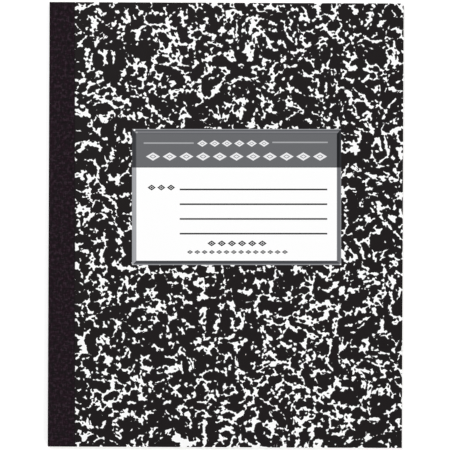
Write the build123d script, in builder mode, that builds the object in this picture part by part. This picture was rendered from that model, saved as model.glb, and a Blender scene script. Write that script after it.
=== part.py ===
from build123d import *
import os

# A sewn composition notebook, closed and lying on its back cover.
#
# One folded signature of leaves is sewn through its fold with a lockstitch of two threads. A stiff board
# lies on each side of it, covered outside with marbled paper and lined inside with white paper. A cloth
# tape is glued round the spine and over the spine edge of both covers, and is all that hinges them.
#
# Millimetres. +X runs from the spine to the fore edge, +Y from tail to head, +Z up.
# The origin is the middle of the notebook's footprint, on the surface it lies on.

# Driving dimensions
trim_height = 254.0
trim_width = 202.4
leaf_count = 36
leaf_thickness = 0.09
board_thickness = 1.0
cover_paper_thickness = 0.12
lining_thickness = 0.10
tape_thickness = 0.22
tape_flap = 15.1
tape_skew = 0.6
fold_corner_radius = 1.5
thread_radius = 0.2
needle_hole_radius = 0.25
stitch_count = 32

# Levels, from the surface up: tape, cover paper, board, lining, pages, and the same again in reverse
back_paper_level = tape_thickness
back_board_level = back_paper_level + cover_paper_thickness
back_lining_level = back_board_level + board_thickness
block_level = back_lining_level + lining_thickness
block_thickness = leaf_count * leaf_thickness
front_lining_level = block_level + block_thickness
front_board_level = front_lining_level + lining_thickness
front_paper_level = front_board_level + board_thickness
front_tape_level = front_paper_level + cover_paper_thickness
overall_thickness = front_tape_level + tape_thickness

# Places across the notebook
spine_face = -trim_width / 2
board_edge = spine_face + tape_thickness
fore_edge = trim_width / 2
sheet_width = fore_edge - board_edge
sheet_centre = (fore_edge + board_edge) / 2

# The sewing: one thread runs outside the fold, pressed into it, and the other inside it, between the two
# middle leaves. They lock halfway through the folded leaves.
sewing_level = block_level + block_thickness / 2
fold_thickness = leaf_count / 2 * leaf_thickness
outer_run = board_edge + thread_radius
inner_run = outer_run + thread_radius + fold_thickness + thread_radius
lock_place = (outer_run + inner_run) / 2
stitch_pitch = trim_height / stitch_count
needle_holes = [
    ((number - (stitch_count - 1) / 2) * stitch_pitch, sewing_level)
    for number in range(stitch_count)
]


def flat_sheet(label, level, thickness):
    """A board or paper the full size of a cover, lying at a level above the surface."""
    with BuildPart() as sheet:
        with BuildSketch(Plane.XY.offset(level)):
            with Locations((sheet_centre, 0)):
                Rectangle(sheet_width, trim_height)
        extrude(amount=thickness)
    sheet.part.label = label
    return sheet.part


def sewing_thread(label, run):
    """A thread along the fold, with a short leg through every needle hole to where the two threads lock."""
    with BuildPart() as thread:
        with BuildSketch(Plane.XZ):
            with Locations((run, sewing_level)):
                Circle(thread_radius)
        extrude(amount=trim_height / 2, both=True)
        with BuildSketch(Plane.YZ.offset(run)):
            with Locations(needle_holes):
                Circle(thread_radius)
        extrude(amount=lock_place - run)
    thread.part.label = label
    return thread.part


def flap_corners(width_at_head, width_at_tail):
    """The corners of the tape that lies on a cover, from the board's spine edge inwards."""
    head = trim_height / 2
    return [
        (board_edge, head),
        (board_edge, -head),
        (spine_face + width_at_tail, -head),
        (spine_face + width_at_head, head),
    ]


# The pages: one folded signature with a rounded fold, trimmed flush with the covers and sewn through
with BuildPart() as page_block:
    with BuildSketch(Plane.XZ):
        with Locations((sheet_centre, sewing_level)):
            Rectangle(sheet_width, block_thickness)
        fillet(vertices().group_by(Axis.X)[0], fold_corner_radius)
    extrude(amount=trim_height / 2, both=True)
    # The threads lie in channels that they press into the leaves, outside and inside the fold
    with BuildSketch(Plane.XZ):
        with Locations((outer_run, sewing_level), (inner_run, sewing_level)):
            Circle(needle_hole_radius)
    extrude(amount=trim_height / 2, both=True, mode=Mode.SUBTRACT)
    with BuildSketch(Plane.YZ.offset(board_edge)):
        with Locations(needle_holes):
            Circle(needle_hole_radius)
    extrude(amount=inner_run - board_edge, mode=Mode.SUBTRACT)
page_block.part.label = "page_block"

# The tape: a strip of cloth of even width, laid a little askew, so that one flap narrows towards the
# head as the other widens. It turns sharply over the boards' edges.
with BuildPart() as spine_tape:
    with BuildSketch(Plane.XZ):
        with BuildLine():
            Line((board_edge, 0), (board_edge, overall_thickness))
            RadiusArc(
                (board_edge, overall_thickness), (spine_face, front_tape_level), -tape_thickness
            )
            Line((spine_face, front_tape_level), (spine_face, tape_thickness))
            RadiusArc((spine_face, tape_thickness), (board_edge, 0), -tape_thickness)
        make_face()
    extrude(amount=trim_height / 2, both=True)
    with BuildSketch(Plane.XY.offset(front_tape_level)):
        Polygon(*flap_corners(tape_flap - tape_skew, tape_flap + tape_skew), align=None)
    extrude(amount=tape_thickness)
    with BuildSketch(Plane.XY):
        Polygon(*flap_corners(tape_flap + tape_skew, tape_flap - tape_skew), align=None)
    extrude(amount=tape_thickness)
spine_tape.part.label = "spine_tape"

pieces = [
    page_block.part,
    sewing_thread("outer_thread", outer_run),
    sewing_thread("inner_thread", inner_run),
    spine_tape.part,
    flat_sheet("back_cover_paper", back_paper_level, cover_paper_thickness),
    flat_sheet("back_board", back_board_level, board_thickness),
    flat_sheet("back_lining", back_lining_level, lining_thickness),
    flat_sheet("front_lining", front_lining_level, lining_thickness),
    flat_sheet("front_board", front_board_level, board_thickness),
    flat_sheet("front_cover_paper", front_paper_level, cover_paper_thickness),
]

os.makedirs("parts", exist_ok=True)
for piece in pieces:
    export_step(piece, f"parts/{piece.label}.step")
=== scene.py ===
import math

import bpy
import numpy as np
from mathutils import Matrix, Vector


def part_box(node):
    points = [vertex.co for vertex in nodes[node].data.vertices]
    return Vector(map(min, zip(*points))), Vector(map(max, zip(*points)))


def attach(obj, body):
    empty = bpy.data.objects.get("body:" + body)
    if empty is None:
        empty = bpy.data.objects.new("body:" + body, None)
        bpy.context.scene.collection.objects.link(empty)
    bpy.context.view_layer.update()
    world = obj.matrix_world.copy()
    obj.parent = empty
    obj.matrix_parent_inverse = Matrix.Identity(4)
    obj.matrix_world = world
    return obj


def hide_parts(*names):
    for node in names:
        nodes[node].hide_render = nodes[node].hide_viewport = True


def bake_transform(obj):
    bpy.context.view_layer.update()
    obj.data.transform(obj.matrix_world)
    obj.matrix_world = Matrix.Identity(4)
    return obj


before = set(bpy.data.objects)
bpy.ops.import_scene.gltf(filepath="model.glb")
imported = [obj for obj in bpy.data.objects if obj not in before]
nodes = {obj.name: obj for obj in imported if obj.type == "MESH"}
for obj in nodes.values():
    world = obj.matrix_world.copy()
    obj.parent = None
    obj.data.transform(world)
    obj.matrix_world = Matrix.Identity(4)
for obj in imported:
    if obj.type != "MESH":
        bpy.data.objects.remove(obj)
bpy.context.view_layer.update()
mm = 0.001

# A composition notebook, lying shut on its back cover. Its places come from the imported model. Shapes and
# patterns are in millimetres, with x from the spine to the fore edge, y from tail to head and z up.
boardLow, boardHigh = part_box("front_board")
blockLow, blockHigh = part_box("page_block")
threadLow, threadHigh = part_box("outer_thread")
boardEdge = boardLow.x / mm
foreEdge = boardHigh.x / mm
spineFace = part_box("spine_tape")[0].x / mm
tail = blockLow.y / mm
head = blockHigh.y / mm
blockFoot = blockLow.z / mm
halfBlock = (blockHigh.z - blockLow.z) / 2 / mm
middle = (blockLow.z + blockHigh.z) / 2 / mm
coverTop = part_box("front_cover_paper")[1].z / mm
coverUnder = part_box("back_cover_paper")[0].z / mm
outerThreadX = (threadLow.x + threadHigh.x) / 2 / mm


def ink(red, green, blue):        # a printed colour, 0 to 255, as the linear colour that Blender wants
    def toLinear(level):
        share = level / 255
        return share / 12.92 if share <= 0.04045 else ((share + 0.055) / 1.055) ** 2.4
    return (toLinear(red), toLinear(green), toLinear(blue), 1.0)


def fill(tree, socket, value):        # an input takes a link from another node, or a plain value
    if isinstance(value, bpy.types.NodeSocket):
        tree.links.new(value, socket)
    else:
        socket.default_value = value


def addNode(tree, kind, inputs=None, **settings):
    node = tree.nodes.new(kind)
    for key, value in settings.items():
        setattr(node, key, value)
    for key, value in (inputs or {}).items():
        fill(tree, node.inputs[key], value)
    return node


def maths(tree, operation, *values):
    return addNode(tree, "ShaderNodeMath", dict(enumerate(values)), operation=operation).outputs[0]


def vectorMaths(tree, operation, *values, result="Vector"):
    return addNode(tree, "ShaderNodeVectorMath", dict(enumerate(values)), operation=operation).outputs[result]


def smoothStep(tree, value, low, high, lowResult=0.0, highResult=1.0):
    inputs = {"Value": value, "From Min": low, "From Max": high, "To Min": lowResult, "To Max": highResult}
    return addNode(tree, "ShaderNodeMapRange", inputs, interpolation_type="SMOOTHSTEP").outputs["Result"]


def splitAxes(tree, vector):
    return addNode(tree, "ShaderNodeSeparateXYZ", {0: vector}).outputs


def mixColour(tree, mask, under, over):
    node = addNode(tree, "ShaderNodeMix", data_type="RGBA")
    fill(tree, node.inputs[0], mask)
    fill(tree, node.inputs[6], under)
    fill(tree, node.inputs[7], over)
    return node.outputs[2]


def noise(tree, point, scale, detail=2.0, roughness=0.5, result="Fac"):
    inputs = {"Vector": point, "Scale": scale, "Detail": detail, "Roughness": roughness}
    return addNode(tree, "ShaderNodeTexNoise", inputs).outputs[result]


def newGroup(name, inputs, outputs):
    # an empty node group; inputs are names and defaults, vectors or numbers, and all outputs are numbers
    tree = bpy.data.node_groups.new(name, "ShaderNodeTree")
    for label, default in inputs.items():
        kind = "NodeSocketVector" if isinstance(default, tuple) else "NodeSocketFloat"
        tree.interface.new_socket(name=label, in_out="INPUT", socket_type=kind).default_value = default
    for label in outputs:
        tree.interface.new_socket(name=label, in_out="OUTPUT", socket_type="NodeSocketFloat")
    return tree, tree.nodes.new("NodeGroupInput").outputs, tree.nodes.new("NodeGroupOutput").inputs


def useGroup(tree, group, inputs):
    return addNode(tree, "ShaderNodeGroup", inputs, node_tree=group).outputs


def newMaterial(name):
    material = bpy.data.materials.new(name)
    material.use_nodes = True
    return material, material.node_tree, material.node_tree.nodes["Principled BSDF"]


def millimetres(tree):        # Object coordinates, in millimetres
    position = addNode(tree, "ShaderNodeTexCoord").outputs["Object"]
    return vectorMaths(tree, "MULTIPLY", position, (1 / mm, 1 / mm, 1 / mm))


def applyFinish(tree, shader, colour, height, ways):
    # colour and bump change over the surface; roughness and gloss are plain values on the shader
    tree.links.new(colour, shader.inputs["Base Color"])
    shader.inputs["Roughness"].default_value = ways["roughness"]
    shader.inputs["Specular IOR Level"].default_value = ways["gloss"]
    bump = addNode(tree, "ShaderNodeBump", {"Height": height, "Distance": ways["bump"] * mm,
                                            "Strength": ways["bumpStrength"]})
    tree.links.new(bump.outputs["Normal"], shader.inputs["Normal"])


def buildBoxMask():
    # 1 inside a rectangle and 0 outside: the larger of |x| - half width and |y| - half height, made soft
    tree, given, out = newGroup("boxMask", {"Point": (0, 0, 0), "Centre": (0, 0, 0), "Half Size": (1, 1, 0),
                                            "Softness": 0.08}, ["Mask"])
    offset = vectorMaths(tree, "ABSOLUTE", vectorMaths(tree, "SUBTRACT", given["Point"], given["Centre"]))
    beyond = splitAxes(tree, vectorMaths(tree, "SUBTRACT", offset, given["Half Size"]))
    farthest = maths(tree, "MAXIMUM", beyond[0], beyond[1])
    inwards = maths(tree, "MULTIPLY", given["Softness"], -1.0)
    tree.links.new(smoothStep(tree, farthest, inwards, given["Softness"], 1.0, 0.0), out["Mask"])
    return tree


grainWays = {"stretch": (1.0, 0.35, 1.0), "detail": 4.0, "roughness": 0.62, "mottle": 0.09, "fibreShare": 0.4}


def buildPaperGrain():
    # fine fibres drawn out along y, and a tone that is part fibres and part a soft mottle
    tree, given, out = newGroup("paperGrain", {"Point": (0, 0, 0), "Fibre Size": 0.5}, ["Height", "Tone"])
    w = grainWays
    scale = maths(tree, "DIVIDE", 1.0, given["Fibre Size"])
    stretched = vectorMaths(tree, "MULTIPLY", given["Point"], w["stretch"])
    fibres = noise(tree, stretched, scale, w["detail"], w["roughness"])
    mottle = maths(tree, "MULTIPLY", noise(tree, given["Point"], w["mottle"]), 1 - w["fibreShare"])
    tree.links.new(fibres, out["Height"])
    tree.links.new(maths(tree, "MULTIPLY_ADD", fibres, w["fibreShare"], mottle), out["Tone"])
    return tree


marbleWays = {"dropSizes": (4.6, 2.7), "dropReach": (0.56, 0.35), "dropChance": 0.75, "melt": 0.35,
              "pushSizes": (1.8, 20.0), "pushes": (0.7, 7.0),
              "grainSizes": (1.8, 1.2, 12.0), "grainWeights": (2.5, 0.25, 0.6),
              "dropShift": (31.0, 17.0, 0.0), "grainShift": (53.0, 71.0, 9.0), "level": -0.075, "edge": 0.03}


def buildMarble():
    # White shows in the gaps between drops of black. Each size of drop gives the distance outside its nearest
    # drop, whose radius is chosen at random. The least of these is the gap, and noise added to it swells and
    # breaks the white. Before that, noise pushes every point aside, a little over short distances and more
    # over long ones.
    tree, given, out = newGroup("marbleDrops", {"Point": (0, 0, 0)}, ["White"])
    w = marbleWays
    flat = vectorMaths(tree, "MULTIPLY", given["Point"], (1.0, 1.0, 0.0))
    moved = flat
    for size, reach in zip(w["pushSizes"], w["pushes"]):
        push = noise(tree, flat, 1 / size, 1.0, result="Color")
        push = vectorMaths(tree, "SUBTRACT", push, (0.5, 0.5, 0.5))
        moved = vectorMaths(tree, "MULTIPLY_ADD", push, (reach * 2, reach * 2, 0.0), moved)
    gap = None
    for number, (size, reach) in enumerate(zip(w["dropSizes"], w["dropReach"])):
        placed = vectorMaths(tree, "ADD", moved, tuple(number * step for step in w["dropShift"]))
        drops = addNode(tree, "ShaderNodeTexVoronoi", {"Vector": placed, "Scale": 1 / size, "Randomness": 1.0,
                                                       "Smoothness": w["melt"]},
                        voronoi_dimensions="2D", feature="SMOOTH_F1").outputs
        chance = addNode(tree, "ShaderNodeSeparateColor", {"Color": drops["Color"]}).outputs["Red"]
        least = reach * (1 - w["dropChance"] / 2)
        radius = maths(tree, "MULTIPLY_ADD", chance, w["dropChance"] * reach, least)
        outside = maths(tree, "MULTIPLY", maths(tree, "SUBTRACT", drops["Distance"], radius), size)
        gap = outside if gap is None else maths(tree, "MINIMUM", gap, outside)
    for number, (size, weight) in enumerate(zip(w["grainSizes"], w["grainWeights"])):
        placed = vectorMaths(tree, "ADD", flat, tuple(number * step for step in w["grainShift"]))
        grain = maths(tree, "SUBTRACT", noise(tree, placed, 1 / size, 0.0), 0.5)
        gap = maths(tree, "MULTIPLY_ADD", grain, weight, gap)
    tree.links.new(smoothStep(tree, gap, w["level"] - w["edge"], w["level"] + w["edge"]), out["White"])
    return tree


lozengeWays = {"strokeSoft": 0.85, "coreSoft": 0.9, "endSoft": 0.02}


def buildLozengeRow():
    # A row of hollow lozenges with filled middles. Reach is |x| / half width + |y| / half height, where x
    # starts again every pitch. The outline is where reach is within a stroke of 1 - stroke, and the middle is
    # where it is under core.
    tree, given, out = newGroup("lozengeRow", {"Point": (0, 0, 0), "Centre": (0, 0, 0), "Half Length": 10.0,
                                               "Pitch": 5.0, "Half Width": 2.0, "Half Height": 1.5,
                                               "Stroke": 0.2, "Core": 0.25}, ["Mask"])
    w = lozengeWays
    x, y = splitAxes(tree, vectorMaths(tree, "SUBTRACT", given["Point"], given["Centre"]))[0:2]
    fromStart = maths(tree, "ADD", x, given["Half Length"])
    turns = maths(tree, "DIVIDE", fromStart, given["Pitch"])
    offCentre = maths(tree, "SUBTRACT", maths(tree, "FRACT", turns), 0.5)
    fromCentre = maths(tree, "ABSOLUTE", maths(tree, "MULTIPLY", offCentre, given["Pitch"]))
    across = maths(tree, "DIVIDE", fromCentre, given["Half Width"])
    up = maths(tree, "DIVIDE", maths(tree, "ABSOLUTE", y), given["Half Height"])
    reach = maths(tree, "ADD", across, up)
    outline = maths(tree, "SUBTRACT", reach, maths(tree, "SUBTRACT", 1.0, given["Stroke"]))
    softStroke = maths(tree, "MULTIPLY", given["Stroke"], w["strokeSoft"])
    ring = smoothStep(tree, maths(tree, "ABSOLUTE", outline), softStroke, given["Stroke"], 1.0, 0.0)
    softCore = maths(tree, "MULTIPLY", given["Core"], w["coreSoft"])
    core = smoothStep(tree, reach, softCore, given["Core"], 1.0, 0.0)
    pastEnd = maths(tree, "SUBTRACT", maths(tree, "ABSOLUTE", x), given["Half Length"])
    within = smoothStep(tree, pastEnd, -w["endSoft"], w["endSoft"], 1.0, 0.0)
    tree.links.new(maths(tree, "MULTIPLY", within, maths(tree, "MAXIMUM", ring, core)), out["Mask"])
    return tree


boxMask = buildBoxMask()
paperGrain = buildPaperGrain()
marbleDrops = buildMarble()
lozengeRow = buildLozengeRow()
print("groups built")


# The label is printed on the front cover. Its places are in millimetres from its own centre.
labelPrint = {"centre": (6.16, 16.03, 0.0), "turn": 0.24, "halfWidth": 59.75, "halfHeight": 38.85,
              "innerHalfWidth": 57.25, "headerTop": 36.0, "headerFoot": 16.8, "fieldFoot": -36.4,
              "soft": 0.05, "header": ink(103, 104, 107), "headerShade": ink(88, 89, 92),
              "shadeHigh": 0.5, "shadeSoft": 0.15, "field": ink(254, 254, 254),
              "line": ink(34, 34, 36), "lines": 4, "lineLeft": -32.5, "lineRight": 51.8,
              "lineTop": 4.3, "lineStep": 8.42, "lineHalf": 0.45,
              "rule": ink(168, 169, 172), "ruleHigh": 0.8,
              "rules": ((-53.1, -24.5, 30.4), (20.4, 52.1, 30.8))}        # left, right, foot

# The frame round it: tones from 0 to 255 across each side, from its inner edge at 0 to its outer edge at 1,
# and light caught at its corners, as x, y, radius, tone.
framePrint = {"leftHeader": ((0.0, 80), (0.2, 57), (0.6, 49), (1.0, 61)),
              "leftField": ((0.0, 156), (0.3, 168), (0.7, 161), (1.0, 166)),
              "rightHeader": ((0.0, 24), (0.35, 12), (0.65, 30), (1.0, 44)),
              "rightField": ((0.0, 134), (0.35, 106), (0.65, 111), (1.0, 148)),
              "top": ((0.0, 94), (0.16, 94), (0.26, 124), (0.52, 120), (0.62, 76), (0.76, 84), (0.86, 156),
                      (1.0, 150)),
              "foot": ((0.0, 92), (0.2, 64), (0.55, 68), (0.7, 90), (0.82, 148), (1.0, 144)),
              "glints": ((-58.4, 38.3, 0.85, 252), (-57.0, 36.9, 0.7, 178), (59.5, -38.6, 0.85, 242),
                         (-59.3, -38.5, 0.7, 200)),
              "glintCore": 0.3, "mitreSoft": 0.03, "edgeSoft": 0.02, "headerSoft": 0.06}

# rows of lozenges: ink, centre, half length, how many, half height
ornamentPrint = {"headInk": ink(236, 236, 238), "fieldInk": ink(24, 24, 26), "share": 0.43, "stroke": 0.27,
                 "core": 0.34, "rows": (("headInk", (-1.95, 30.6, 0.0), 21.15, 6, 1.95),
                                        ("headInk", (-0.05, 23.1, 0.0), 52.5, 11, 2.4),
                                        ("fieldInk", (-43.0, 5.4, 0.0), 8.3, 3, 1.7),
                                        ("fieldInk", (0.25, -26.5, 0.0), 17.4, 6, 1.7),
                                        ("fieldInk", (0.5, -31.45, 0.0), 29.2, 14, 1.15))}


def labelBox(tree, own, left, foot, right, top, softness=labelPrint["soft"]):
    centre = ((left + right) / 2, (foot + top) / 2, 0.0)
    halfSize = ((right - left) / 2, (top - foot) / 2, 0.0)
    return useGroup(tree, boxMask, {"Point": own, "Centre": centre, "Half Size": halfSize,
                                    "Softness": softness})["Mask"]


def frameBand(tree, share, side):        # the tone of one side of the frame, a little cooler than plain grey
    node = addNode(tree, "ShaderNodeValToRGB", {"Fac": share})
    stops = node.color_ramp.elements
    while len(stops) < len(framePrint[side]):
        stops.new(0.5)
    for stop, (place, tone) in zip(stops, framePrint[side]):
        stop.position = place
        stop.color = ink(tone - 1, tone, tone + 4)
    return node.outputs["Color"]


def paintFrame(tree, own, colour):
    # Each side's share runs from 0 at its inner edge to 1 at its outer edge. The top and the foot show where
    # their share is larger than the sides', which mitres the corners.
    p, f = labelPrint, framePrint
    x, y = splitAxes(tree, own)[0:2]
    inner, top, foot = p["innerHalfWidth"], p["headerTop"], p["fieldFoot"]
    frameMask = labelBox(tree, own, -p["halfWidth"], -p["halfHeight"], p["halfWidth"], p["halfHeight"])
    pastInner = maths(tree, "SUBTRACT", maths(tree, "ABSOLUTE", x), inner)
    sideShare = maths(tree, "DIVIDE", pastInner, p["halfWidth"] - inner)
    topShare = maths(tree, "DIVIDE", maths(tree, "SUBTRACT", y, top), p["halfHeight"] - top)
    footShare = maths(tree, "DIVIDE", maths(tree, "SUBTRACT", foot, y), p["halfHeight"] + foot)
    inHeader = smoothStep(tree, y, p["headerFoot"] - f["headerSoft"], p["headerFoot"] + f["headerSoft"])
    onRight = maths(tree, "GREATER_THAN", x, 0.0)
    left = mixColour(tree, inHeader, frameBand(tree, sideShare, "leftField"),
                     frameBand(tree, sideShare, "leftHeader"))
    right = mixColour(tree, inHeader, frameBand(tree, sideShare, "rightField"),
                      frameBand(tree, sideShare, "rightHeader"))
    colour = mixColour(tree, frameMask, colour, mixColour(tree, onRight, left, right))
    for side, share in (("top", topShare), ("foot", footShare)):
        ahead = maths(tree, "SUBTRACT", share, sideShare)
        mitre = smoothStep(tree, ahead, -f["mitreSoft"], f["mitreSoft"])
        started = smoothStep(tree, share, -f["edgeSoft"], f["edgeSoft"])
        mask = maths(tree, "MULTIPLY", maths(tree, "MULTIPLY", frameMask, mitre), started)
        colour = mixColour(tree, mask, colour, frameBand(tree, share, side))
    for atX, atY, radius, tone in f["glints"]:
        away = vectorMaths(tree, "DISTANCE", own, (atX, atY, 0.0), result="Value")
        spot = smoothStep(tree, away, radius * f["glintCore"], radius, 1.0, 0.0)
        colour = mixColour(tree, maths(tree, "MULTIPLY", spot, frameMask), colour, ink(tone, tone, tone))
    return colour


def paintPanels(tree, own, colour):        # the header, the field below it, thin rules and lines to write on
    p = labelPrint
    inner, foot = p["innerHalfWidth"], p["headerFoot"]
    colour = mixColour(tree, labelBox(tree, own, -inner, foot, inner, p["headerTop"]), colour, p["header"])
    shade = labelBox(tree, own, -inner, foot, inner, foot + p["shadeHigh"], p["shadeSoft"])
    colour = mixColour(tree, shade, colour, p["headerShade"])
    colour = mixColour(tree, labelBox(tree, own, -inner, p["fieldFoot"], inner, foot), colour, p["field"])
    for left, right, level in p["rules"]:
        rule = labelBox(tree, own, left, level, right, level + p["ruleHigh"])
        colour = mixColour(tree, rule, colour, p["rule"])
    for number in range(p["lines"]):
        level = p["lineTop"] - number * p["lineStep"]
        low, high = level - p["lineHalf"], level + p["lineHalf"]
        line = labelBox(tree, own, p["lineLeft"], low, p["lineRight"], high)
        colour = mixColour(tree, line, colour, p["line"])
    return colour


def paintOrnaments(tree, own, colour):
    w = ornamentPrint
    for inkName, centre, half, count, high in w["rows"]:
        pitch = 2 * half / count
        mask = useGroup(tree, lozengeRow, {"Point": own, "Centre": centre, "Half Length": half,
                                           "Pitch": pitch, "Half Width": pitch * w["share"],
                                           "Half Height": high, "Stroke": w["stroke"],
                                           "Core": w["core"]})["Mask"]
        colour = mixColour(tree, mask, colour, w[inkName])
    return colour


def labelOnCover(tree, point, colour):
    turn = (0.0, 0.0, math.radians(labelPrint["turn"]))
    place = addNode(tree, "ShaderNodeMapping", {"Vector": point, "Location": labelPrint["centre"],
                                                "Rotation": turn}, vector_type="TEXTURE")
    own = vectorMaths(tree, "MULTIPLY", place.outputs[0], (1.0, 1.0, 0.0))
    colour = paintFrame(tree, own, colour)
    colour = paintPanels(tree, own, colour)
    return paintOrnaments(tree, own, colour)


coverPrint = {"black": ink(15, 10, 11), "white": ink(250, 250, 250), "edge": ink(205, 202, 196), "skin": 0.02,
              "frontShift": (0.0, 0.0, 0.0), "backShift": (431.0, 277.0, 0.0), "fibre": 0.45,
              "roughness": 0.42, "toneSpan": (0.3, 0.7), "roughnessSpan": (0.37, 0.5), "gloss": 0.1,
              "bump": 0.012, "bumpStrength": 0.6}


def coverPaper(name, shift, printedZ, label=None):
    # marbled paper, printed only on its outer face; its cut edges show the plain stock
    material, tree, shader = newMaterial(name)
    w = coverPrint
    point = millimetres(tree)
    white = useGroup(tree, marbleDrops, {"Point": vectorMaths(tree, "ADD", point, shift)})["White"]
    grain = useGroup(tree, paperGrain, {"Point": point, "Fibre Size": w["fibre"]})
    colour = mixColour(tree, white, w["black"], w["white"])
    if label:
        colour = label(tree, point, colour)
    fromFace = maths(tree, "ABSOLUTE", maths(tree, "SUBTRACT", splitAxes(tree, point)[2], printedZ))
    colour = mixColour(tree, maths(tree, "GREATER_THAN", fromFace, w["skin"]), colour, w["edge"])
    applyFinish(tree, shader, colour, grain["Height"], w)
    roughness = smoothStep(tree, grain["Tone"], *w["toneSpan"], *w["roughnessSpan"])
    tree.links.new(roughness, shader.inputs["Roughness"])
    return material


boardWays = {"grey": ink(152, 145, 134), "dark": ink(122, 115, 105), "pale": ink(180, 174, 164),
             "flake": 0.6, "flakeStretch": (1.0, 1.0, 3.0), "ply": 0.14, "plyStretch": (0.05, 0.05, 1.0),
             "flakeShare": 0.65, "darkSpan": (0.36, 0.5), "paleSpan": (0.52, 0.68), "roughness": 0.92,
             "gloss": 0.2, "bump": 0.06, "bumpStrength": 0.8}


def chipboard():
    # grey board pulp: flakes drawn out along the board and thin plies, seen at its cut edges
    material, tree, shader = newMaterial("chipboard")
    w = boardWays
    point = millimetres(tree)
    flakes = noise(tree, vectorMaths(tree, "MULTIPLY", point, w["flakeStretch"]), 1 / w["flake"], 3.0, 0.6)
    plies = noise(tree, vectorMaths(tree, "MULTIPLY", point, w["plyStretch"]), 1 / w["ply"], 1.0)
    plies = maths(tree, "MULTIPLY", plies, 1 - w["flakeShare"])
    both = maths(tree, "MULTIPLY_ADD", flakes, w["flakeShare"], plies)
    colour = mixColour(tree, smoothStep(tree, both, *w["darkSpan"]), w["dark"], w["grey"])
    colour = mixColour(tree, smoothStep(tree, both, *w["paleSpan"]), colour, w["pale"])
    applyFinish(tree, shader, colour, both, w)
    return material


liningWays = {"paper": ink(244, 243, 239), "shade": ink(242, 241, 236), "toneSpan": (0.35, 0.65),
              "fibre": 0.5, "roughness": 0.85, "gloss": 0.25, "bump": 0.015, "bumpStrength": 0.7}


def liningPaper():
    material, tree, shader = newMaterial("liningPaper")
    w = liningWays
    grain = useGroup(tree, paperGrain, {"Point": millimetres(tree), "Fibre Size": w["fibre"]})
    colour = mixColour(tree, smoothStep(tree, grain["Tone"], *w["toneSpan"]), w["shade"], w["paper"])
    applyFinish(tree, shader, colour, grain["Height"], w)
    return material


threadWays = {"white": ink(236, 233, 224), "shade": ink(196, 190, 178), "twist": 0.55, "strands": 3.0,
              "whiteSpan": (0.0, 0.6), "roughness": 0.7, "gloss": 0.5, "bump": 0.04, "bumpStrength": 0.8}


def sewingThread():
    # twisted strands: the sine of strands times the angle round the thread, and a full turn more every twist
    material, tree, shader = newMaterial("sewingThread")
    w = threadWays
    x, y, z = splitAxes(tree, millimetres(tree))
    across = maths(tree, "SUBTRACT", x, outerThreadX)
    up = maths(tree, "SUBTRACT", z, middle)
    angle = maths(tree, "MULTIPLY", maths(tree, "ARCTAN2", up, across), w["strands"])
    phase = maths(tree, "MULTIPLY_ADD", y, 2 * math.pi / w["twist"], angle)
    strands = maths(tree, "MULTIPLY_ADD", maths(tree, "SINE", phase), 0.5, 0.5)
    # painted shade: the grooves between the twisted strands are darker in the colour
    colour = mixColour(tree, smoothStep(tree, strands, *w["whiteSpan"]), w["shade"], w["white"])
    applyFinish(tree, shader, colour, strands, w)
    return material


def dress(node, material):        # a CAD node keeps its shape and takes a worked material
    piece = nodes[node]
    piece.data.materials.clear()
    piece.data.materials.append(material)


board = chipboard()
lining = liningPaper()
thread = sewingThread()
frontPaper = coverPaper("marbledPaperFront", coverPrint["frontShift"], coverTop, labelOnCover)
backPaper = coverPaper("marbledPaperBack", coverPrint["backShift"], coverUnder)
dress("front_cover_paper", frontPaper)
dress("back_cover_paper", backPaper)
for cover in ("front", "back"):
    dress(cover + "_board", board)
    dress(cover + "_lining", lining)
for run in ("outer", "inner"):
    dress(run + "_thread", thread)
print("papers, boards and threads dressed")


def sheetParts(centreX, centreZ, ys, half, lift=None):
    # A thin sheet along y. Its centre line C(s) lies in XZ, with normal N(s), and may change with y. The
    # walls are C + half N and C - half N, joined at both ends of s and closed at the first and the last y.
    # lift(x, y, z) is a last small change of z. The arrays are s by y, in millimetres.
    along = np.stack([np.gradient(centreX, axis=0), np.gradient(centreZ, axis=0)])
    along = along / np.linalg.norm(along, axis=0)
    normalX, normalZ = along[1], -along[0]
    ringX = np.concatenate([centreX + half * normalX, (centreX - half * normalX)[::-1]])
    ringZ = np.concatenate([centreZ + half * normalZ, (centreZ - half * normalZ)[::-1]])
    ringY = np.broadcast_to(ys, ringX.shape)
    if lift is not None:
        ringZ = ringZ + lift(ringX, ringY, ringZ)
    points = np.stack([ringX, ringY, ringZ], axis=-1).reshape(-1, 3)
    index = np.arange(ringX.size).reshape(ringX.shape)
    following = np.roll(index, -1, axis=0)
    walls = np.stack([index[:, :-1], following[:, :-1], following[:, 1:], index[:, 1:]], axis=-1)
    stations = len(centreX)
    ends = [stations - 1, 2 * stations - 1]        # the rows where one wall meets the other
    upper, lower = index[:stations], index[::-1][:stations]
    near = np.stack([upper[:-1, 0], lower[:-1, 0], lower[1:, 0], upper[1:, 0]], axis=-1)
    far = np.stack([upper[:-1, -1], upper[1:, -1], lower[1:, -1], lower[:-1, -1]], axis=-1)
    cuts = np.concatenate([walls[ends].reshape(-1, 4), near, far])
    return points, np.delete(walls, ends, axis=0).reshape(-1, 4), cuts


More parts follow.
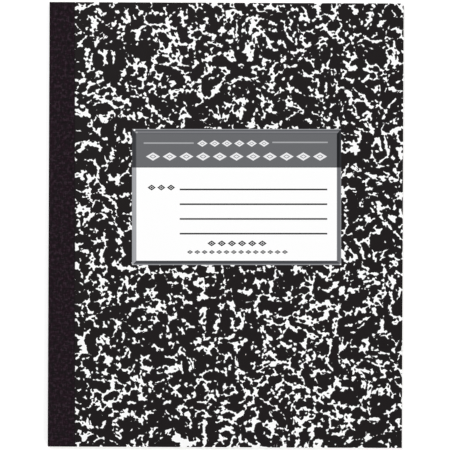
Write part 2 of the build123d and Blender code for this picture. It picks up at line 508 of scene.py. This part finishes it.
def addSheets(name, parts, uvs, cutU=None):
    # one mesh of several sheets; walls are smooth and cut edges flat, where the uv's first value may be cutU
    points = np.concatenate([part[0] for part in parts])
    starts = np.cumsum([0] + [len(part[0]) for part in parts[:-1]])
    walls = np.concatenate([part[1] + start for part, start in zip(parts, starts)])
    cuts = np.concatenate([part[2] + start for part, start in zip(parts, starts)])
    faces = np.concatenate([walls, cuts])
    mesh = bpy.data.meshes.new(name)
    mesh.from_pydata((points * mm).tolist(), [], faces.tolist())
    mesh.polygons.foreach_set("use_smooth", np.arange(len(faces)) < len(walls))
    uv = np.concatenate(uvs)[faces]
    if cutU is not None:
        uv[len(walls):, :, 0] = cutU
    mesh.uv_layers.new(name="place").data.foreach_set("uv", uv.reshape(-1).astype(np.float32))
    corners = points[faces]
    turned = np.cross(corners[:, 1] - corners[:, 0], corners[:, 2] - corners[:, 0])
    if np.einsum("ij,ij->i", corners[:, 0], turned).sum() < 0:        # the volume they hold, inside out
        mesh.flip_normals()
    mesh.set_sharp_from_angle(angle=math.radians(50))        # keeps the cut edges crisp
    mesh.update()
    made = bpy.data.objects.new(name, mesh)
    bpy.context.scene.collection.objects.link(made)
    return made


pageWays = {"sheets": 18, "paper": 0.073, "threadAway": 2.22, "core": 0.2, "coreFade": 0.5, "dent": 0.4,
            "dentHalf": 0.6, "dip": 0.12, "dipLength": (150.0, 96.0), "dipLean": 130.0, "dipWave": 0.25,
            "dipStart": 20.0, "dipOver": 120.0, "trim": 0.04, "leaf": ink(247, 245, 239),
            "leafShade": ink(245, 243, 236), "toneSpan": (0.35, 0.65), "rule": ink(122, 166, 212),
            "margin": ink(222, 112, 128), "headGap": 28.0, "ruleStep": 8.73, "ruleHalf": 0.14,
            "ruleSoft": 0.03, "marginAt": 31.75, "marginSoft": 0.06, "cutU": -5.0, "leafU": -1.0,
            "fibre": 0.45, "roughness": 0.88, "gloss": 0.2, "bump": 0.012, "bumpStrength": 0.7}


def leafDip(x, y, z):
    # the leaves dip between the spine and the fore edge in slow waves, most at the top of the block
    w = pageWays
    fromSpine = np.clip((x - boardEdge - w["dipStart"]) / w["dipOver"], 0, 1)
    waveX = np.sin(2 * np.pi * x / w["dipLength"][0] + 0.6)
    waveY = np.sin(2 * np.pi * y / w["dipLength"][1] + 0.9 + x / w["dipLean"])
    share = (z - blockFoot) / (2 * halfBlock)
    return -w["dip"] * fromSpine * (0.5 + w["dipWave"] * (waveX + waveY)) * share


def buildPages():
    # Folded sheets, nested in one another. Sheet k, counted from the inside, goes round the inner thread by
    # a half turn of angle a: x = thread - (core + (k + 1/2) pitch + dent (1 - d)) cos a and
    # z = middle + rise sin a, where d = exp(-(z / dent half)^2) is where the outer thread holds it in. From
    # there the leaves run straight to the fore edge and close up by core g, with
    # g = exp(-((x - thread) / core fade)^2), so rise = core g + (k + 1/2) (half block - core g) / sheets.
    w = pageWays
    pitch = halfBlock / w["sheets"]
    innerThreadX = boardEdge + w["threadAway"]
    ys = np.linspace(tail, head, 13)
    angles = np.linspace(math.pi / 2, -math.pi / 2, 17)
    closeBy, farOff = np.linspace(0.1, 1.1, 9), np.linspace(25, 175, 7)
    away = np.concatenate([closeBy, [1.6, 2.6, 5.0, 12.0], farOff])        # stations, closest by the fold
    parts, uvs = [], []
    for k in range(w["sheets"]):
        end = foreEdge - w["trim"] * (0.5 + 0.5 * math.sin(2.3 * k * k + 1.1))        # unevenly trimmed
        straight = innerThreadX + np.append(away[:-1], end - innerThreadX)
        spread = w["core"] * np.exp(-((straight - innerThreadX) / w["coreFade"]) ** 2)
        rise = spread + (k + 0.5) * (halfBlock - spread) / w["sheets"]
        bend = (w["core"] + (k + 0.5) * (halfBlock - w["core"]) / w["sheets"]) * np.sin(angles)
        pressed = np.exp(-(bend / w["dentHalf"]) ** 2)
        reach = w["core"] + (k + 0.5) * pitch + w["dent"] * (1 - pressed)
        lineX = np.concatenate([straight[::-1], innerThreadX - reach * np.cos(angles), straight])
        lineZ = middle + np.concatenate([rise[::-1], bend, -rise])
        centreX, centreZ = (np.repeat(line[:, None], len(ys), axis=1) for line in (lineX, lineZ))
        part = sheetParts(centreX, centreZ, ys, w["paper"] / 2, leafDip)
        parts.append(part)
        stations = np.arange(len(lineX))
        station = np.repeat(np.concatenate([stations, stations[::-1]]), len(ys))
        outerWall = np.repeat(np.arange(2 * len(lineX)) < len(lineX), len(ys))
        facesUp = (station < len(lineX) / 2) == outerWall
        x, y = part[0][:, 0], part[0][:, 1]
        uvs.append(np.stack([np.where(facesUp, x - boardEdge, foreEdge - x), head - y], axis=-1))
    return addSheets("pageLeaves", parts, uvs, w["cutU"])


def leafPaper():
    # ruled white paper; the piece's uv is millimetres from the margin's side of the leaf and from its head
    material, tree, shader = newMaterial("leafPaper")
    w = pageWays
    grain = useGroup(tree, paperGrain, {"Point": millimetres(tree), "Fibre Size": w["fibre"]})
    colour = mixColour(tree, smoothStep(tree, grain["Tone"], *w["toneSpan"]), w["leafShade"], w["leaf"])
    across, down = splitAxes(tree, addNode(tree, "ShaderNodeUVMap", uv_map="place").outputs[0])[0:2]
    fromFirst = maths(tree, "SUBTRACT", down, w["headGap"] - w["ruleStep"] / 2)
    steps = maths(tree, "DIVIDE", fromFirst, w["ruleStep"])
    offStep = maths(tree, "SUBTRACT", maths(tree, "FRACT", steps), 0.5)
    offRule = maths(tree, "ABSOLUTE", maths(tree, "MULTIPLY", offStep, w["ruleStep"]))
    low, high = w["ruleHalf"] - w["ruleSoft"], w["ruleHalf"] + w["ruleSoft"]
    ruled = smoothStep(tree, offRule, low, high, 1.0, 0.0)
    ruled = maths(tree, "MULTIPLY", ruled, maths(tree, "GREATER_THAN", steps, 0.0))
    ruled = maths(tree, "MULTIPLY", ruled, maths(tree, "GREATER_THAN", across, w["leafU"]))
    colour = mixColour(tree, ruled, colour, w["rule"])
    offMargin = maths(tree, "ABSOLUTE", maths(tree, "SUBTRACT", across, w["marginAt"]))
    margin = smoothStep(tree, offMargin, w["ruleHalf"], w["ruleHalf"] + w["marginSoft"], 1.0, 0.0)
    colour = mixColour(tree, margin, colour, w["margin"])
    applyFinish(tree, shader, colour, grain["Height"], w)
    return material


pages = buildPages()
pages.data.materials.append(leafPaper())
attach(pages, "pages")
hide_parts("page_block")
print("pages built", len(pages.data.polygons))


# The tape is two halves of one strip of cloth that meet at the middle of the spine.
tapeWays = {"thick": 0.20, "clear": 0.01, "flap": 15.1, "skew": 0.6, "fray": 0.035, "frayTurns": (1.9, 0.61),
            "stitch": 7.9375, "ridge": 0.06, "ridgeFlat": 0.1, "ridgeFade": 0.45, "bendStart": 1.44,
            "bendEnd": 2.04, "cloth": ink(24, 7, 18), "greyer": ink(18, 11, 16), "dark": ink(6, 1, 4),
            "light": ink(50, 36, 46), "edge": ink(14, 8, 11), "greyerSpan": (0.38, 0.62),
            "darkSpan": (0.36, 0.5), "lightSpan": (0.5, 0.62), "holeSpan": (0.1, 0.45), "holeDark": 0.45,
            "edgeSpan": (0.25, 0.6), "grainSize": 1.9, "mottleSize": 3.2, "slubThin": 0.45, "slubLong": 3.5,
            "weave": 0.42, "weaveHeight": 0.5, "slubHeight": 1.2, "roughness": 0.8, "gloss": 0.12,
            "bump": 0.035, "bumpStrength": 0.8}
tapeCorner = coverTop - middle        # the climb from the middle of the spine to the board's corner
tapeRing = tapeWays["thick"] / 2 + tapeWays["clear"]        # radius of its centre line round that corner


def buildTape(name, side):
    # The centre line climbs the spine, turns through a quarter circle round the board's corner and lies on
    # the cover, up to x = spine face + flap - side skew y / half height, a little frayed. side is 1 in front
    # and -1 behind. Over the sewing it stands out by ridge exp(-((climb - ridge flat) / ridge fade)^2) times
    # cos(pi y / stitch)^2, one swell to a stitch.
    w = tapeWays
    ys = np.linspace(tail, head, 257)
    ones = np.ones(len(ys))
    frayed = np.sin(ys * w["frayTurns"][0]) * 0.5 + np.sin(ys * w["frayTurns"][1] + side) * 0.5
    width = w["flap"] - w["skew"] * side * ys / head + w["fray"] * frayed
    climb = np.concatenate([[0], np.linspace(w["ridgeFlat"], w["bendStart"] - 0.1, 8),
                            np.linspace(w["bendStart"], w["bendEnd"], 13),
                            np.linspace(w["bendEnd"] + 0.1, tapeCorner, 5)])
    turn = np.linspace(math.pi, math.pi / 2, 8)[1:]
    share = np.linspace(0, 1, 14)[1:]
    fading = np.exp(-(np.maximum(climb - w["ridgeFlat"], 0) / w["ridgeFade"]) ** 2)
    swell = w["ridge"] * np.outer(fading, np.cos(math.pi * ys / w["stitch"]) ** 2)
    flap = np.outer(share, spineFace + width - boardEdge)
    corner = np.outer(tapeRing * np.cos(turn), ones)
    lineX = boardEdge + np.concatenate([-tapeRing - swell, corner, flap])
    level = np.full(len(share), tapeCorner + tapeRing)
    rise = np.concatenate([climb, tapeCorner + tapeRing * np.sin(turn), level])
    part = sheetParts(lineX, middle + side * np.outer(rise, ones), ys, w["thick"] / 2)
    along = np.concatenate([np.outer(climb, ones), np.outer(tapeCorner + tapeRing * (math.pi - turn), ones),
                            tapeCorner + tapeRing * math.pi / 2 + flap])
    across = side * along + w["skew"] * ys / head
    bothWalls = np.concatenate([across, across[::-1]])
    uv = np.stack([bothWalls, np.broadcast_to(ys, bothWalls.shape)], axis=-1)
    return addSheets(name, [part], [uv.reshape(-1, 2)])


def bookCloth():
    # Black cloth; the piece's uv is millimetres across and along the strip. The weave is the sine across
    # times the sine along. Slubs are noise drawn out along each thread; grain and mottle shift the tone.
    material, tree, shader = newMaterial("bookCloth")
    w = tapeWays
    place = addNode(tree, "ShaderNodeUVMap", uv_map="place").outputs[0]
    across, along = splitAxes(tree, place)[0:2]
    turns = 2 * math.pi / w["weave"]
    warp = maths(tree, "SINE", maths(tree, "MULTIPLY", across, turns))
    weft = maths(tree, "SINE", maths(tree, "MULTIPLY", along, turns))
    weave = maths(tree, "MULTIPLY_ADD", maths(tree, "MULTIPLY", warp, weft), 0.5, 0.5)
    thin, long = 1 / w["slubThin"], 1 / w["slubLong"]
    warpSlub = noise(tree, vectorMaths(tree, "MULTIPLY", place, (thin, long, 0.0)), 1.0, 1.0)
    weftSlub = noise(tree, vectorMaths(tree, "MULTIPLY", place, (long, thin, 0.0)), 1.0, 1.0)
    slubs = maths(tree, "MULTIPLY", maths(tree, "ADD", warpSlub, weftSlub), 0.5)
    grain = noise(tree, place, 1 / w["grainSize"])
    mottle = noise(tree, place, 1 / w["mottleSize"])
    tone = maths(tree, "MULTIPLY_ADD", grain, 0.5, maths(tree, "MULTIPLY", slubs, 0.5))
    colour = mixColour(tree, smoothStep(tree, mottle, *w["greyerSpan"]), w["cloth"], w["greyer"])
    colour = mixColour(tree, smoothStep(tree, tone, *w["darkSpan"], 1.0, 0.0), colour, w["dark"])
    colour = mixColour(tree, smoothStep(tree, tone, *w["lightSpan"]), colour, w["light"])
    holes = smoothStep(tree, weave, *w["holeSpan"], w["holeDark"], 0.0)
    colour = mixColour(tree, holes, colour, w["dark"])
    reach = tapeCorner + tapeRing * math.pi / 2 + spineFace - boardEdge + w["flap"]
    toEdge = maths(tree, "SUBTRACT", reach, maths(tree, "ABSOLUTE", across))
    colour = mixColour(tree, smoothStep(tree, toEdge, *w["edgeSpan"], 1.0, 0.0), colour, w["edge"])
    slubHeight = maths(tree, "MULTIPLY", slubs, w["slubHeight"])
    height = maths(tree, "MULTIPLY_ADD", weave, w["weaveHeight"], slubHeight)
    applyFinish(tree, shader, colour, height, w)
    return material


cloth = bookCloth()
for name, side, cover in (("tapeFront", 1, "front_cover"), ("tapeBack", -1, "back_cover")):
    tape = buildTape(name, side)
    tape.data.materials.append(cloth)
    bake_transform(tape)
    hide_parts("spine_tape")
    print(name, "built", len(tape.data.polygons))


stageWays = {"floorSize": 4.0, "floorDrop": 0.05 * mm, "floorTone": (0.80, 0.80, 0.80, 1.0),
             "white": (1.0, 1.0, 1.0, 1.0), "worldLight": 0.44, "floorLift": 0.3, "liftFrom": (0.3, 0.9),
             "roughness": 0.9, "gloss": 0.1}


def seenDirectly(tree):        # 1 for what the camera, gloss and clear things see, 0 for scattered light
    path = addNode(tree, "ShaderNodeLightPath").outputs
    seen = maths(tree, "MAXIMUM", path["Is Camera Ray"], path["Is Glossy Ray"])
    return maths(tree, "MAXIMUM", seen, path["Is Transmission Ray"])


def buildFloor():
    # pale, and seen as white: its own glow tops up the lamps' light, most far away where they don't reach
    w = stageWays
    half, level = w["floorSize"] / 2, -w["floorDrop"]
    mesh = bpy.data.meshes.new("floor")
    mesh.from_pydata([(-half, -half, level), (half, -half, level), (half, half, level), (-half, half, level)],
                     [], [(0, 1, 2, 3)])
    floor = bpy.data.objects.new("floor", mesh)
    bpy.context.scene.collection.objects.link(floor)
    material, tree, shader = newMaterial("floorPale")
    seen = seenDirectly(tree)
    tree.links.new(mixColour(tree, seen, w["floorTone"], w["white"]), shader.inputs["Base Color"])
    shader.inputs["Emission Color"].default_value = w["white"]
    away = vectorMaths(tree, "LENGTH", addNode(tree, "ShaderNodeTexCoord").outputs["Object"], result="Value")
    lift = smoothStep(tree, away, *w["liftFrom"], w["floorLift"], 1.0)
    tree.links.new(maths(tree, "MULTIPLY", seen, lift), shader.inputs["Emission Strength"])
    shader.inputs["Roughness"].default_value = w["roughness"]
    shader.inputs["Specular IOR Level"].default_value = w["gloss"]
    mesh.materials.append(material)


def buildWorld():
    w = stageWays
    world = bpy.data.worlds.new("studio")
    bpy.context.scene.world = world
    world.use_nodes = True
    tree = world.node_tree
    background = tree.nodes["Background"]
    background.inputs["Color"].default_value = w["white"]
    strength = maths(tree, "MULTIPLY_ADD", seenDirectly(tree), 1.0 - w["worldLight"], w["worldLight"])
    tree.links.new(strength, background.inputs["Strength"])


lampWays = {"high": {"place": (-0.55, 0.75, 1.5), "size": 1.4, "power": 14.8},
            "low": {"place": (0.9, -0.7, 1.2), "size": 1.2, "power": 8.4}}


def buildLamps():        # two wide soft lamps that face the notebook
    for name, w in lampWays.items():
        lamp = bpy.data.lights.new(name, "AREA")
        lamp.shape = "DISK"
        lamp.size = w["size"]
        lamp.energy = w["power"]
        holder = bpy.data.objects.new(name, lamp)
        holder.location = w["place"]
        holder.rotation_euler = (-holder.location).to_track_quat("-Z", "Y").to_euler()
        bpy.context.scene.collection.objects.link(holder)


cameraWays = {"frameWidth": 257.1 * mm, "lens": 300.0, "sensor": 36.0, "turn": 0.24, "side": -0.4 * mm,
              "farthest": 20.0}


def buildCamera():        # straight above, far enough back for the frame's width to fit at the cover's level
    w = cameraWays
    camera = bpy.data.cameras.new("above")
    camera.sensor_width = w["sensor"]
    camera.lens = w["lens"]
    camera.clip_end = w["farthest"]
    holder = bpy.data.objects.new("above", camera)
    holder.location = (w["side"], 0.0, coverTop * mm + w["frameWidth"] * w["lens"] / w["sensor"])
    holder.rotation_euler = (0.0, 0.0, math.radians(w["turn"]))
    bpy.context.scene.collection.objects.link(holder)
    bpy.context.scene.camera = holder


buildFloor()
buildWorld()
buildLamps()
buildCamera()
bpy.context.scene.view_settings.view_transform = "Standard"
print("stage set")
